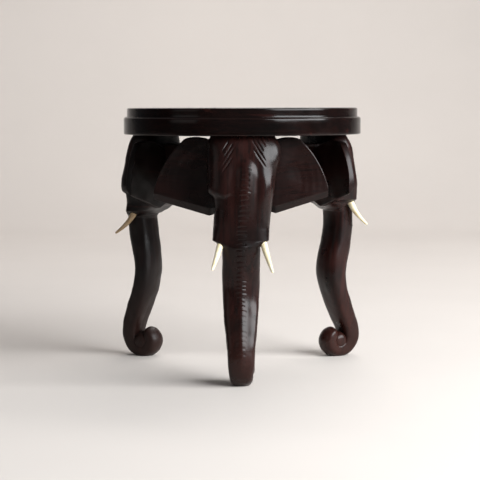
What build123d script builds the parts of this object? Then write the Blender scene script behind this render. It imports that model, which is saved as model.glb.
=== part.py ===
from build123d import *

import os
from dataclasses import dataclass
from math import cos, radians, sin, tan

# A small round-topped stand. Three carved elephants carry the top on their heads.
# Their trunks are the stand's legs.
#
# Millimetres, +Z up. The origin is on the floor below the middle of the top, and the front elephant faces -Y.
# Each elephant is modelled facing -Y, then turned about the middle axis to its place.
# "r" is a distance out from that axis, and "lateral" is a distance sideways from the elephant's own mid plane.

# The turned top.
STAND_HEIGHT = 219.0
TOP_RADIUS = 100.0
TOP_THICKNESS = 22.0
TOP_STEP_HEIGHT = 7.5
TOP_STEP_SETBACK = 2.8
TOP_STEP_ROUNDING = 1.4
TOP_EDGE_ROUNDING = 2.0
TOP_UNDER_ROUNDING = 1.0
UNDER_TOP = STAND_HEIGHT - TOP_THICKNESS

# The head, as (height, half width, front r, corner radius) from the crown down past the cheeks.
HEAD_STATIONS = [
    (UNDER_TOP, 24.3, 93.0, 8.0),
    (183.0, 28.6, 101.2, 10.0),
    (169.0, 27.0, 104.3, 10.0),
    (155.0, 24.8, 105.8, 9.0),
    (141.0, 22.8, 107.0, 8.0),
    (127.0, 21.8, 107.5, 7.5),
    (113.0, 21.2, 107.5, 7.0),
]
HEAD_BACK_R = 72.5
HEAD_HIDDEN_DEPTH = 8.0
CHEEK_BACK_R = 99.0
JAW_BACK_R = 88.0
JAW_RISE = 10.5

# The neck, a bracket that runs back from the head to the middle axis.
NECK_HALF_WIDTH = 18.0
NECK_TOP = 188.0
NECK_UNDER = 154.0
NECK_KNEE_R = 50.0
NECK_INSIDE_HEAD_R = 84.0

# The trunk from inside the cheeks down to the curl, as
# (height, middle r, half depth, half width, swell share, drop share).
# The shares are how much of an elephant's own knee swelling and knee drop the trunk has at that height.
TRUNK_STATIONS = [
    (134.0, 97.0, 9.4, 14.6, 0.0, 0.5),
    (120.0, 98.2, 10.0, 15.0, 0.1, 1.0),
    (106.0, 96.4, 10.2, 15.0, 0.6, 1.0),
    (92.0, 93.4, 10.0, 15.0, 1.0, 1.0),
    (78.0, 92.2, 9.2, 14.9, 1.0, 1.0),
    (64.0, 94.6, 8.5, 14.3, 0.6, 1.0),
    (50.0, 99.4, 8.2, 13.2, 0.2, 1.0),
    (36.0, 104.6, 8.0, 11.8, 0.0, 0.8),
    (22.0, 107.6, 7.6, 10.5, 0.0, 0.3),
    (8.0, 103.4, 6.0, 9.4, 0.0, 0.0),
]
TRUNK_CORNER_SHARE = 0.62
CURL_R = 97.0
CURL_RADIUS = 15.0
CURL_CENTRE_HEIGHT = 14.5
CURL_HALF_WIDTH = 9.2
CURL_ROUNDING = 4.0

# An ear. Its root lies on the neck's side, and its front lies on the back of the head, then bends back.
EAR_THICKNESS = 10.0
EAR_BEND_LATERAL = 27.0
EAR_BEND_DEG = 6.25
EAR_CREST_SHARE = 0.8
EAR_SHOULDER_DROP = 1.4
EAR_BOW_OUT = 2.8
EAR_BOW_UP = 1.6
EAR_TIP_EDGE = 8.0
EAR_ROOT_DROP = 13.2
EAR_ROOT_BELOW_CREST = 7.0
EAR_HEEL_LATERAL = 26.5
EAR_HEEL_RISE = 3.4
EAR_BEVEL_HEIGHT = 6.0
EAR_BEVEL_HEIGHT_AT_TIP = 5.0
EAR_BEVEL_DEPTH = 5.0

# A tusk, a tapering curved peg whose straight shank is glued into the cheek.
TUSK_TIP_RADIUS = 0.7
TUSK_SHANK = 9.0
TUSK_CLEAR_SHANK = 3.0
TUSK_STEPS = 5
TUSK_CURL_DEG = 26.0
TUSK_TAPER_POWER = 1.4

# Hidden joinery.
TOP_DOWEL_RADIUS = 4.0
TOP_DOWEL_R = 83.0
TOP_DOWEL_UP = 11.0
TOP_DOWEL_DOWN = 17.0
EAR_DOWEL_RADIUS = 3.0
EAR_DOWEL_HEIGHT = 167.0
EAR_DOWEL_IN = 9.0
EAR_DOWEL_OUT = 13.0
PEG_RADIUS = 6.0
PEG_UP = 9.0

SECTOR_DEG = 120.0

# How far out the shape that cuts the cheeks and jaw runs, so that it clears the wood in front of them.
CUT_REACH = 120.0


@dataclass
class Elephant:
    """What differs between the three hand-carved elephants. Pairs are for the left and right side."""

    name: str
    turn: float
    outset: float
    knee_swell: float
    knee_drop: float
    cheek_bottom: float
    jaw_bottom: float
    ear_shoulder: float
    ear_reaches: tuple
    ear_crests: tuple
    ear_corners: tuple
    tusk_radius: float
    tusk_lengths: tuple
    tusk_root_laterals: tuple
    tusk_root_r: float
    tusk_outward_deg: tuple
    tusk_forward_deg: float


ELEPHANTS = [
    Elephant(
        name="front_elephant",
        turn=0.0,
        outset=0.0,
        knee_swell=0.0,
        knee_drop=0.0,
        cheek_bottom=114.5,
        jaw_bottom=114.5,
        ear_shoulder=46.5,
        ear_reaches=(71.4, 69.2),
        ear_crests=(195.9, 195.6),
        ear_corners=(145.5, 147.4),
        tusk_radius=2.5,
        tusk_lengths=(28.5, 31.0),
        tusk_root_laterals=(17.2, 16.6),
        tusk_root_r=101.0,
        tusk_outward_deg=(13.5, 13.0),
        tusk_forward_deg=26.0,
    ),
    Elephant(
        name="right_elephant",
        turn=SECTOR_DEG,
        outset=-1.2,
        knee_swell=2.0,
        knee_drop=6.0,
        cheek_bottom=139.0,
        jaw_bottom=129.0,
        ear_shoulder=57.0,
        ear_reaches=(71.0, 70.0),
        ear_crests=(190.9, 188.3),
        ear_corners=(148.0, 147.0),
        tusk_radius=2.9,
        tusk_lengths=(26.5, 26.5),
        tusk_root_laterals=(17.6, 17.6),
        tusk_root_r=101.0,
        tusk_outward_deg=(17.0, 17.0),
        tusk_forward_deg=15.0,
    ),
    Elephant(
        name="left_elephant",
        turn=2 * SECTOR_DEG,
        outset=3.0,
        knee_swell=-1.6,
        knee_drop=0.0,
        cheek_bottom=129.0,
        jaw_bottom=126.0,
        ear_shoulder=57.0,
        ear_reaches=(70.0, 71.0),
        ear_crests=(188.3, 190.9),
        ear_corners=(146.0, 146.5),
        tusk_radius=2.7,
        tusk_lengths=(25.5, 25.5),
        tusk_root_laterals=(17.6, 17.6),
        tusk_root_r=96.6,
        tusk_outward_deg=(16.0, 16.0),
        tusk_forward_deg=24.0,
    ),
]
SIDES = {"left": -1, "right": 1}


def of_side(pair, side):
    """The value of a (left, right) pair on one side, where -1 is left and 1 is right."""
    return pair[0] if side < 0 else pair[1]


def save(piece, name, turn=0.0, outset=0.0):
    """Moves a finished piece out and round the middle axis to its place, labels it and writes its STEP file."""
    piece.part = piece.part.moved(Location((0, -outset, 0))).rotate(Axis.Z, turn)
    piece.part.label = name
    export_step(piece.part, f"parts/{name}.step")


def top_disc():
    """The stepped round top, with blind sockets in its underside for the dowels and the peg."""
    with BuildPart() as top:
        with BuildSketch(Plane.XY.offset(UNDER_TOP)):
            Circle(TOP_RADIUS)
        extrude(amount=TOP_THICKNESS - TOP_STEP_HEIGHT)
        with BuildSketch(Plane.XY.offset(STAND_HEIGHT - TOP_STEP_HEIGHT)):
            Circle(TOP_RADIUS - TOP_STEP_SETBACK)
        extrude(amount=TOP_STEP_HEIGHT)
        rims = top.edges().filter_by(GeomType.CIRCLE).sort_by(Axis.Z)
        fillet(rims[-1], TOP_STEP_ROUNDING)
        shelf = top.edges().filter_by(GeomType.CIRCLE).filter_by(lambda e: abs(e.radius - TOP_RADIUS) < 1e-6)
        fillet(shelf.sort_by(Axis.Z)[-1], TOP_EDGE_ROUNDING)
        fillet(shelf.sort_by(Axis.Z)[0], TOP_UNDER_ROUNDING)
        with BuildSketch(Plane.XY.offset(UNDER_TOP)):
            for elephant in ELEPHANTS:
                with PolarLocations(TOP_DOWEL_R + elephant.outset, 1, start_angle=elephant.turn - 90):
                    Circle(TOP_DOWEL_RADIUS)
        extrude(amount=TOP_DOWEL_UP, mode=Mode.SUBTRACT)
        with BuildSketch(Plane.XY.offset(UNDER_TOP)):
            Circle(PEG_RADIUS)
        extrude(amount=PEG_UP, mode=Mode.SUBTRACT)
    return top


def tusk_frames(elephant, side):
    """Planes along one tusk: at its hidden end, at the end of its shank, then round its curve to the tip."""
    outward = side * sin(radians(of_side(elephant.tusk_outward_deg, side)))

    def heading(forward_deg):
        return Vector(outward, -sin(radians(forward_deg)), -cos(radians(forward_deg))).normalized()

    clear_length = of_side(elephant.tusk_lengths, side) - TUSK_CLEAR_SHANK
    lateral = side * of_side(elephant.tusk_root_laterals, side)
    root = Vector(lateral, -elephant.tusk_root_r, elephant.cheek_bottom)
    first = heading(elephant.tusk_forward_deg)
    point = root + first * TUSK_CLEAR_SHANK
    frames = [Plane(root - first * TUSK_SHANK, z_dir=first), Plane(point, z_dir=first)]
    for step in range(1, TUSK_STEPS + 1):
        turn = TUSK_CURL_DEG * step / TUSK_STEPS
        direction = heading(elephant.tusk_forward_deg + turn)
        point = point + direction * (clear_length / TUSK_STEPS)
        frames.append(Plane(point, z_dir=direction))
    return frames


def tusk(elephant, side):
    """One curved tusk with its straight shank."""
    frames = tusk_frames(elephant, side)
    with BuildPart() as peg:
        with BuildSketch(frames[0]):
            Circle(elephant.tusk_radius)
        extrude(amount=TUSK_SHANK + TUSK_CLEAR_SHANK)
        for step, frame in enumerate(frames[1:]):
            taper = (step / TUSK_STEPS) ** TUSK_TAPER_POWER
            with BuildSketch(frame):
                Circle(elephant.tusk_radius + (TUSK_TIP_RADIUS - elephant.tusk_radius) * taper)
        loft()
    return peg


def tusk_socket(elephant, side):
    """The blind round hole that a tusk's shank is glued into."""
    with BuildPart() as socket:
        with BuildSketch(tusk_frames(elephant, side)[0]):
            Circle(elephant.tusk_radius)
        extrude(amount=TUSK_SHANK + TUSK_CLEAR_SHANK)
    return socket


def ear_front(lateral):
    """Y of an ear's front face, on the right side."""
    return max(0, lateral - EAR_BEND_LATERAL) * tan(radians(EAR_BEND_DEG)) - HEAD_BACK_R


def ear(elephant, side):
    """One fan-shaped ear, thinner toward its tip and bevelled underneath, with a dowel hole in its root edge."""
    reach, crest = of_side(elephant.ear_reaches, side), of_side(elephant.ear_crests, side)
    corner = of_side(elephant.ear_corners, side)
    root_low = corner - EAR_ROOT_DROP
    root_top = (NECK_HALF_WIDTH, crest - EAR_ROOT_BELOW_CREST)
    shoulder = (elephant.ear_shoulder, crest - EAR_SHOULDER_DROP)
    tip = (reach, corner + EAR_TIP_EDGE)
    bow = ((shoulder[0] + tip[0]) / 2 + EAR_BOW_OUT, (shoulder[1] + tip[1]) / 2 + EAR_BOW_UP)
    with BuildPart() as panel:
        with BuildSketch(Plane.XZ.offset(HEAD_BACK_R)):
            with BuildLine():
                ThreePointArc(root_top, (EAR_CREST_SHARE * elephant.ear_shoulder, crest), shoulder)
                ThreePointArc(shoulder, bow, tip)
                Polyline(
                    tip,
                    (reach, corner),
                    (EAR_HEEL_LATERAL, root_low),
                    (NECK_HALF_WIDTH, root_low + EAR_HEEL_RISE),
                    root_top,
                )
            make_face()
        extrude(amount=-EAR_THICKNESS)
        bend = radians(EAR_BEND_DEG)
        bend_line = (EAR_BEND_LATERAL, -HEAD_BACK_R, 0)
        split(bisect_by=Plane(bend_line, z_dir=(-sin(bend), cos(bend), 0)), keep=Keep.TOP)
        heel = Vector(EAR_HEEL_LATERAL, ear_front(EAR_HEEL_LATERAL), root_low + EAR_BEVEL_HEIGHT)
        along = Vector(reach, ear_front(reach), corner + EAR_BEVEL_HEIGHT_AT_TIP) - heel
        inward = Vector(0, EAR_BEVEL_DEPTH, -EAR_BEVEL_HEIGHT)
        split(bisect_by=Plane(heel, x_dir=along, z_dir=along.cross(inward)), keep=Keep.TOP)
        with BuildSketch(Plane.YZ.offset(NECK_HALF_WIDTH)):
            with Locations((EAR_THICKNESS / 2 - HEAD_BACK_R, EAR_DOWEL_HEIGHT)):
                Circle(EAR_DOWEL_RADIUS)
        extrude(amount=EAR_DOWEL_OUT, mode=Mode.SUBTRACT)
        if side < 0:
            mirror(about=Plane.YZ, mode=Mode.REPLACE)
    return panel


def ear_dowels():
    """The two short dowels between the neck and the ears on either side of it."""
    with BuildPart() as pins:
        with BuildSketch(Plane.YZ.offset(NECK_HALF_WIDTH - EAR_DOWEL_IN)):
            with Locations((EAR_THICKNESS / 2 - HEAD_BACK_R, EAR_DOWEL_HEIGHT)):
                Circle(EAR_DOWEL_RADIUS)
        extrude(amount=EAR_DOWEL_IN + EAR_DOWEL_OUT)
        mirror(about=Plane.YZ)
    return pins


def top_dowel():
    """The dowel between a head's crown and the top."""
    with BuildPart() as pin:
        with BuildSketch(Plane.XY.offset(UNDER_TOP - TOP_DOWEL_DOWN)):
            with Locations((0, -TOP_DOWEL_R)):
                Circle(TOP_DOWEL_RADIUS)
        extrude(amount=TOP_DOWEL_DOWN + TOP_DOWEL_UP)
    return pin


def centre_peg():
    """The peg that ties the three necks together where they meet and locates the top."""
    with BuildPart() as peg:
        with BuildSketch(Plane.XY.offset(NECK_UNDER)):
            Circle(PEG_RADIUS)
        extrude(amount=UNDER_TOP + PEG_UP - NECK_UNDER)
    return peg


def head_block(elephant):
    """The carved head from the crown to the cheeks, flat behind, where the ears lie against it."""
    back_r = HEAD_BACK_R - HEAD_HIDDEN_DEPTH
    low = elephant.cheek_bottom
    with BuildPart() as block:
        for height, half_width, front_r, corner in HEAD_STATIONS:
            with BuildSketch(Plane.XY.offset(height)):
                with Locations((0, -(front_r + back_r) / 2)):
                    RectangleRounded(2 * half_width, front_r - back_r, corner)
        loft()
        split(bisect_by=Plane.XZ.offset(HEAD_BACK_R), keep=Keep.TOP)
        with BuildSketch(Plane.YZ.offset(-TOP_RADIUS)):
            with BuildLine():
                Polyline(
                    (-CUT_REACH, 0),
                    (-CUT_REACH, low),
                    (-CHEEK_BACK_R, low),
                    (-JAW_BACK_R, elephant.jaw_bottom),
                    (-HEAD_BACK_R, elephant.jaw_bottom + JAW_RISE),
                    (0, elephant.jaw_bottom + JAW_RISE),
                    (0, 0),
                    close=True,
                )
            make_face()
        extrude(amount=2 * TOP_RADIUS, mode=Mode.SUBTRACT)
    return block


def neck(elephant):
    """The bracket from the head back to the middle axis, mitred against the other two necks."""
    low, head_r = elephant.jaw_bottom + JAW_RISE, HEAD_BACK_R + elephant.outset
    inside_r = NECK_INSIDE_HEAD_R + elephant.outset
    with BuildPart() as bracket:
        with BuildSketch(Plane.YZ.offset(-NECK_HALF_WIDTH)):
            with BuildLine():
                Polyline(
                    (0, NECK_UNDER),
                    (0, NECK_TOP),
                    (-inside_r, NECK_TOP),
                    (-inside_r, low + JAW_RISE),
                    (-head_r, low),
                    (-NECK_KNEE_R, NECK_UNDER),
                    close=True,
                )
            make_face()
        extrude(amount=2 * NECK_HALF_WIDTH)
        half_sector = radians(SECTOR_DEG / 2)
        for side in (-1, 1):
            inward = Vector(side * cos(half_sector), -sin(half_sector), 0)
            split(bisect_by=Plane((0, 0, 0), z_dir=inward), keep=Keep.TOP)
    return bracket


def trunk(elephant):
    """The trunk that is the leg, from inside the cheeks down to the curled tip it stands on."""
    with BuildPart() as leg:
        with BuildSketch(Plane.YZ.offset(-CURL_HALF_WIDTH)):
            with Locations((-CURL_R, CURL_CENTRE_HEIGHT)):
                Circle(CURL_RADIUS)
        extrude(amount=2 * CURL_HALF_WIDTH)
        fillet(leg.edges().filter_by(GeomType.CIRCLE), CURL_ROUNDING)
        for height, middle_r, half_depth, half_width, swell_share, drop_share in TRUNK_STATIONS:
            swell = elephant.knee_swell * swell_share
            with BuildSketch(Plane.XY.offset(height - elephant.knee_drop * drop_share)):
                with Locations((0, swell / 2 - middle_r)):
                    RectangleRounded(2 * half_width, 2 * half_depth + swell, TRUNK_CORNER_SHARE * half_depth)
        loft()
    return leg


def carved_leg(elephant):
    """Head, neck and trunk, which are one piece of wood, with the holes for the tusks, dowels and peg."""
    out = Location((0, -elephant.outset, 0))
    with BuildPart() as leg:
        add(head_block(elephant).part.moved(out))
        add(neck(elephant).part)
        add(trunk(elephant).part.moved(out))
        split(bisect_by=Plane.XY, keep=Keep.TOP)
        add(top_dowel().part.moved(out), mode=Mode.SUBTRACT)
        add(centre_peg().part, mode=Mode.SUBTRACT)
        add(ear_dowels().part.moved(out), mode=Mode.SUBTRACT)
        for side in SIDES.values():
            add(tusk_socket(elephant, side).part.moved(out), mode=Mode.SUBTRACT)
    return leg


os.makedirs("parts", exist_ok=True)
save(top_disc(), "top_disc")
save(centre_peg(), "centre_peg")
for elephant in ELEPHANTS:
    place = (elephant.turn, elephant.outset)
    save(carved_leg(elephant), f"{elephant.name}_head_and_trunk", elephant.turn)
    save(top_dowel(), f"{elephant.name}_top_dowel", *place)
    save(ear_dowels(), f"{elephant.name}_ear_dowels", *place)
    for word, side in SIDES.items():
        save(ear(elephant, side), f"{elephant.name}_{word}_ear", *place)
        save(tusk(elephant, side), f"{elephant.name}_{word}_tusk", *place)
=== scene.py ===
import math

import bmesh
import bpy
import numpy as np
from mathutils import Matrix, Vector


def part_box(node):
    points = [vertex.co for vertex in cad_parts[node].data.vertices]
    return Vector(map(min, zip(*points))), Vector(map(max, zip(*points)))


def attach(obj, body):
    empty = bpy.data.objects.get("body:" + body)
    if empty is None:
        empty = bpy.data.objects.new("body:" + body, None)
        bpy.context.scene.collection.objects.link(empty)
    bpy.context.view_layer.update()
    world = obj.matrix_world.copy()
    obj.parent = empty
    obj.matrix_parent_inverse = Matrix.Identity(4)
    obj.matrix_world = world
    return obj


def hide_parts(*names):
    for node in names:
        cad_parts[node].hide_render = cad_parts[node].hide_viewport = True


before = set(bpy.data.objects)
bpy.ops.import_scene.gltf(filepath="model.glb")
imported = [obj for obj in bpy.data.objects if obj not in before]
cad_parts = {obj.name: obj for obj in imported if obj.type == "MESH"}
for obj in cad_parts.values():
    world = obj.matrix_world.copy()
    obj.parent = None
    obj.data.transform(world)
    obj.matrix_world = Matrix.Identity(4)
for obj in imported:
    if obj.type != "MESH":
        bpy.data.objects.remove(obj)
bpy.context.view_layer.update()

# A round-topped stand on three carved elephants. The shapes are worked out in millimetres in each elephant's own
# directions (lateral, r, height): lateral is sideways from its mid plane and r is the distance out from the
# stand's middle axis. The meshes are in metres in the frame's directions. "left" and "right" are as someone
# facing that elephant sees them, and lateral is negative on the left.

MM = 0.001
ELEPHANTS = {"front_elephant": 0, "right_elephant": 120, "left_elephant": 240}
SIDES = {"left": -1, "right": 1}


# ---------------------------------------------------------------- small tools

def to_world(points, turn):
    """Rows of (lateral, r, height) in mm as rows of (x, y, z) in metres."""
    lateral, r, height = np.asarray(points, float).T
    a = math.radians(turn)
    x, y = lateral, -r
    return np.stack([x * math.cos(a) - y * math.sin(a), x * math.sin(a) + y * math.cos(a), height], 1) * MM


def local_points(node, turn):
    """The points of a CAD node as rows of (lateral, r, height), in mm."""
    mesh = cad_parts[node].data
    flat = np.empty(len(mesh.vertices) * 3)
    mesh.vertices.foreach_get("co", flat)
    x, y, z = flat.reshape(-1, 3).T / MM
    a = math.radians(-turn)
    return np.stack([x * math.cos(a) - y * math.sin(a), -(x * math.sin(a) + y * math.cos(a)), z], 1)


def local_box(node, turn):
    """Lowest and highest (lateral, r, height) of a CAD node, in mm."""
    rows = local_points(node, turn)
    return rows.min(0), rows.max(0)


def lowest_at(node, turn, r_from, r_to, lateral_from=0.0):
    """The lowest height, in mm, of a CAD node between two distances from the middle axis, to either side."""
    lateral, r, z = local_points(node, turn).T
    return z[(r > r_from) & (r < r_to) & (np.abs(lateral) >= lateral_from)].min()


def curve(points):
    """A smooth function through (position, value) pairs, held level beyond its ends."""
    pos, val = np.array(sorted(points), float).T
    slope = np.gradient(val, pos)

    def at(p):
        p = np.clip(p, pos[0], pos[-1])
        i = np.clip(np.searchsorted(pos, p) - 1, 0, len(pos) - 2)
        h = pos[i + 1] - pos[i]
        t = (p - pos[i]) / h
        return (
            (2 * t**3 - 3 * t**2 + 1) * val[i]
            + (t**3 - 2 * t**2 + t) * h * slope[i]
            + (3 * t**2 - 2 * t**3) * val[i + 1]
            + (t**3 - t**2) * h * slope[i + 1]
        )

    return at


def ease(low, high, x):
    """0 at low and 1 at high, with a smooth step between; low may be the larger."""
    t = np.clip((x - low) / (high - low), 0, 1)
    return t * t * (3 - 2 * t)


def ripple(points, size, seed, waves=14):
    """Gentle uneven hills about 1 high, for points in mm, with hills about size mm apart."""
    draw = np.random.default_rng(seed)
    total = np.zeros(len(points))
    for _ in range(waves):
        k = draw.normal(size=3) / size * 2.2
        total += np.sin(points @ k + draw.uniform(0, 2 * math.pi))
    return total / math.sqrt(waves)


def mesh_object(name, points, faces):
    """A smooth-shaded object from points in metres."""
    mesh = bpy.data.meshes.new(name)
    mesh.from_pydata([tuple(p) for p in points], [], faces)
    mesh.validate()
    bm = bmesh.new()
    bm.from_mesh(mesh)
    bmesh.ops.recalc_face_normals(bm, faces=bm.faces)
    bm.to_mesh(mesh)
    bm.free()
    mesh.polygons.foreach_set("use_smooth", [True] * len(mesh.polygons))
    obj = bpy.data.objects.new(name, mesh)
    bpy.context.scene.collection.objects.link(obj)
    return obj


def tube_faces(rings, count, caps=True, first=0):
    """Faces of a tube of rings, each of count points, with or without its two end caps."""
    faces = []
    for i in range(rings - 1):
        a, b = first + i * count, first + (i + 1) * count
        for j in range(count):
            k = (j + 1) % count
            faces.append((a + j, a + k, b + k, b + j))
    if caps:
        last = first + (rings - 1) * count
        faces.append(tuple(first + j for j in reversed(range(count))))
        faces.append(tuple(last + j for j in range(count)))
    return faces


# ---------------------------------------------------------------- shader nodes

def node_tree(name):
    """A new material, its emptied node tree and its surface shader."""
    material = bpy.data.materials.new(name)
    material.use_nodes = True
    tree = material.node_tree
    tree.nodes.clear()
    out = tree.nodes.new("ShaderNodeOutputMaterial")
    shader = tree.nodes.new("ShaderNodeBsdfPrincipled")
    tree.links.new(shader.outputs[0], out.inputs[0])
    return material, tree, shader


def object_place(tree):
    """Where a point lies on its object, in metres."""
    return tree.nodes.new("ShaderNodeTexCoord").outputs["Object"]


def pointiness(tree):
    """How sharply the surface bulges: about 0.5 where it is flat, more on edges and less in grooves."""
    return tree.nodes.new("ShaderNodeNewGeometry").outputs["Pointiness"]


def noise(tree, vector, scale, detail, rough, distortion=0.0):
    """Cloudy noise between 0 and 1, with scale as its patches to the metre."""
    node = tree.nodes.new("ShaderNodeTexNoise")
    node.inputs["Scale"].default_value = scale
    node.inputs["Detail"].default_value = detail
    node.inputs["Roughness"].default_value = rough
    node.inputs["Distortion"].default_value = distortion
    tree.links.new(vector, node.inputs["Vector"])
    return node.outputs["Fac"]


def mapping(tree, vector, place=(0.0, 0.0, 0.0), rotation=(0.0, 0.0, 0.0), scale=(1.0, 1.0, 1.0)):
    """A texture's coordinates moved, turned and stretched."""
    node = tree.nodes.new("ShaderNodeMapping")
    node.inputs["Location"].default_value = place
    node.inputs["Rotation"].default_value = rotation
    node.inputs["Scale"].default_value = scale
    tree.links.new(vector, node.inputs["Vector"])
    return node.outputs[0]


def ramp(tree, factor, stops):
    """Colours blended smoothly through (position, colour) stops."""
    node = tree.nodes.new("ShaderNodeValToRGB")
    node.color_ramp.interpolation = "EASE"
    while len(node.color_ramp.elements) < len(stops):
        node.color_ramp.elements.new(0.5)
    for element, (position, colour) in zip(node.color_ramp.elements, stops):
        element.position = position
        element.color = (*colour, 1.0)
    tree.links.new(factor, node.inputs[0])
    return node.outputs[0]


def blend_colour(tree, factor, a, b):
    """Colour a turning into b as factor goes from 0 to 1; each may be a socket or a plain value."""
    node = tree.nodes.new("ShaderNodeMix")
    node.data_type = "RGBA"
    for socket, value in ((node.inputs[0], factor), (node.inputs[6], a), (node.inputs[7], b)):
        if isinstance(value, bpy.types.NodeSocket):
            tree.links.new(value, socket)
        elif isinstance(value, tuple):
            socket.default_value = (*value, 1.0)
        else:
            socket.default_value = value
    return node.outputs[2]


def remap(tree, factor, low, high, to_low, to_high):
    """The range low to high carried to to_low to to_high, and held beyond it."""
    node = tree.nodes.new("ShaderNodeMapRange")
    node.inputs[1].default_value = low
    node.inputs[2].default_value = high
    node.inputs[3].default_value = to_low
    node.inputs[4].default_value = to_high
    tree.links.new(factor, node.inputs[0])
    return node.outputs[0]


def multiply(tree, a, b):
    node = tree.nodes.new("ShaderNodeMath")
    node.operation = "MULTIPLY"
    tree.links.new(a, node.inputs[0])
    tree.links.new(b, node.inputs[1])
    return node.outputs[0]


def axes(tree, vector):
    """The x, y and z of a vector."""
    node = tree.nodes.new("ShaderNodeSeparateXYZ")
    tree.links.new(vector, node.inputs[0])
    return node.outputs


def bump(tree, height, strength, distance, normal=None):
    """Fine relief as high as distance in metres, laid over another relief if one is given."""
    node = tree.nodes.new("ShaderNodeBump")
    node.inputs["Strength"].default_value = strength
    node.inputs["Distance"].default_value = distance
    tree.links.new(height, node.inputs["Height"])
    if normal is not None:
        tree.links.new(normal, node.inputs["Normal"])
    return node.outputs[0]


# ---------------------------------------------------------------- materials

# Rosewood's colours: the dark lines of its figure, also painted into grooves as shade, its body, its warm patches
# and its rubbed edges.
DARK = (0.0018, 0.0014, 0.0013)
BROWN = (0.0042, 0.0021, 0.0018)
RED = (0.0245, 0.0068, 0.0054)
WORN = (0.0340, 0.0135, 0.0100)

# A texture's coordinate along the grain is scaled by these, so the figure and the fine lines run long.
FIGURE_STRETCH = 0.10
LINE_STRETCH = 0.045

# Bone's colours: clean, yellowed and aged patches, the lines along it, its rubbed edges and a brown painted shade
# for tusks that lie in shadow.
CLEAN, YELLOWED, AGED = (0.86, 0.80, 0.62), (0.80, 0.70, 0.47), (0.66, 0.50, 0.27)
BONE_LINE = (0.55, 0.40, 0.22)
BONE_EDGE = (0.90, 0.85, 0.70)
PAINTED_BONE_SHADE = (0.30, 0.17, 0.075)
BONE_STRETCH = 0.12

# The studio surface darkens between these distances in front of the stand, in metres, out of the camera's view.
FRONT_FADE = (-0.45, -0.80)
FRONT_SHADE = (0.05, 0.048, 0.045)


def rosewood(name, grain, red, seed, roughness, warm_below=None):
    """Polished dark rosewood with its grain along a direction, warmer below a height in metres if one is given."""
    material, tree, shader = node_tree(name)
    where = object_place(tree)
    shifted = mapping(tree, where, place=(seed, seed * 0.7, seed * 1.3))
    upright = Vector(grain).rotation_difference(Vector((0.0, 0.0, 1.0))).to_euler()
    base = mapping(tree, shifted, rotation=upright)
    along = mapping(tree, base, scale=(1.0, 1.0, FIGURE_STRETCH))
    fine = mapping(tree, base, scale=(1.0, 1.0, LINE_STRETCH))
    figure = noise(tree, along, 110.0, 3.0, 0.5)
    streak = noise(tree, fine, 420.0, 2.0, 0.5)
    cloud = noise(tree, base, 26.0, 2.0, 0.5, 0.4)
    wood = ramp(tree, figure, [(0.34, DARK), (0.50, BROWN), (0.60, BROWN), (0.74, RED)])
    wood = blend_colour(tree, remap(tree, cloud, 0.35, 0.68, 0.25 * red, 1.3 * red), wood, RED)
    wood = blend_colour(tree, remap(tree, streak, 0.46, 0.74, 0.0, 0.80), wood, DARK)
    if warm_below is not None:
        height = axes(tree, where)[2]
        wood = blend_colour(tree, remap(tree, height, 0.0, warm_below, 0.45, 0.0), wood, WORN)
    edge = pointiness(tree)
    wood = blend_colour(tree, remap(tree, edge, 0.515, 0.60, 0.0, 0.5), wood, WORN)
    # Painted shade: hollows and grooves, where pointiness is low, are darkened toward DARK.
    wood = blend_colour(tree, remap(tree, edge, 0.485, 0.43, 0.0, 0.5), wood, DARK)
    tree.links.new(wood, shader.inputs["Base Color"])
    smear = noise(tree, base, 60.0, 2.0, 0.5)
    tree.links.new(remap(tree, smear, 0.3, 0.7, *roughness), shader.inputs["Roughness"])
    pores = noise(tree, fine, 1500.0, 2.0, 0.5)
    relief = bump(tree, pores, 0.05, 0.00010)
    relief = bump(tree, noise(tree, base, 160.0, 1.0, 0.4), 0.06, 0.0004, relief)
    tree.links.new(relief, shader.inputs["Normal"])
    shader.inputs["Specular IOR Level"].default_value = 0.19
    shader.inputs["Coat Weight"].default_value = 0.03
    shader.inputs["Coat Roughness"].default_value = 0.12
    return material


def ivory(name, painted_shade=0.0):
    """Cream bone with faint lengthwise lines and yellower patches, darkened brown by a share as painted shade."""
    material, tree, shader = node_tree(name)
    where = object_place(tree)
    lines = noise(tree, mapping(tree, where, scale=(1.0, 1.0, BONE_STRETCH)), 900.0, 3.0, 0.5, 0.2)
    patch = noise(tree, where, 130.0, 3.0, 0.55)
    tone = ramp(tree, patch, [(0.30, CLEAN), (0.55, YELLOWED), (0.75, AGED)])
    tone = blend_colour(tree, remap(tree, lines, 0.45, 0.75, 0.0, 0.35), tone, BONE_LINE)
    tone = blend_colour(tree, remap(tree, pointiness(tree), 0.52, 0.62, 0.0, 0.4), tone, BONE_EDGE)
    # Painted shade: the tusk's colour turns brown by this share, standing in for the shadow it lies in.
    tone = blend_colour(tree, painted_shade, tone, PAINTED_BONE_SHADE)
    tree.links.new(tone, shader.inputs["Base Color"])
    tree.links.new(remap(tree, patch, 0.3, 0.7, 0.30, 0.42), shader.inputs["Roughness"])
    tree.links.new(bump(tree, lines, 0.25, 0.0001), shader.inputs["Normal"])
    shader.inputs["Subsurface Weight"].default_value = 0.12
    shader.inputs["Subsurface Radius"].default_value = (0.004, 0.003, 0.002)
    return material


def pale(name, colour, rough):
    """A plain pale studio surface with a trace of unevenness, darker far in front of the stand."""
    material, tree, shader = node_tree(name)
    where = object_place(tree)
    soft = noise(tree, where, 3.0, 3.0, 0.55)
    light = tuple(min(1.0, c * 1.03) for c in colour)
    far_front = remap(tree, axes(tree, where)[1], *FRONT_FADE, 0.0, 0.9)
    paint = blend_colour(tree, far_front, ramp(tree, soft, [(0.3, colour), (0.7, light)]), FRONT_SHADE)
    tree.links.new(paint, shader.inputs["Base Color"])
    shader.inputs["Roughness"].default_value = rough
    shader.inputs["Specular IOR Level"].default_value = 0.2
    return material


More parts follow.
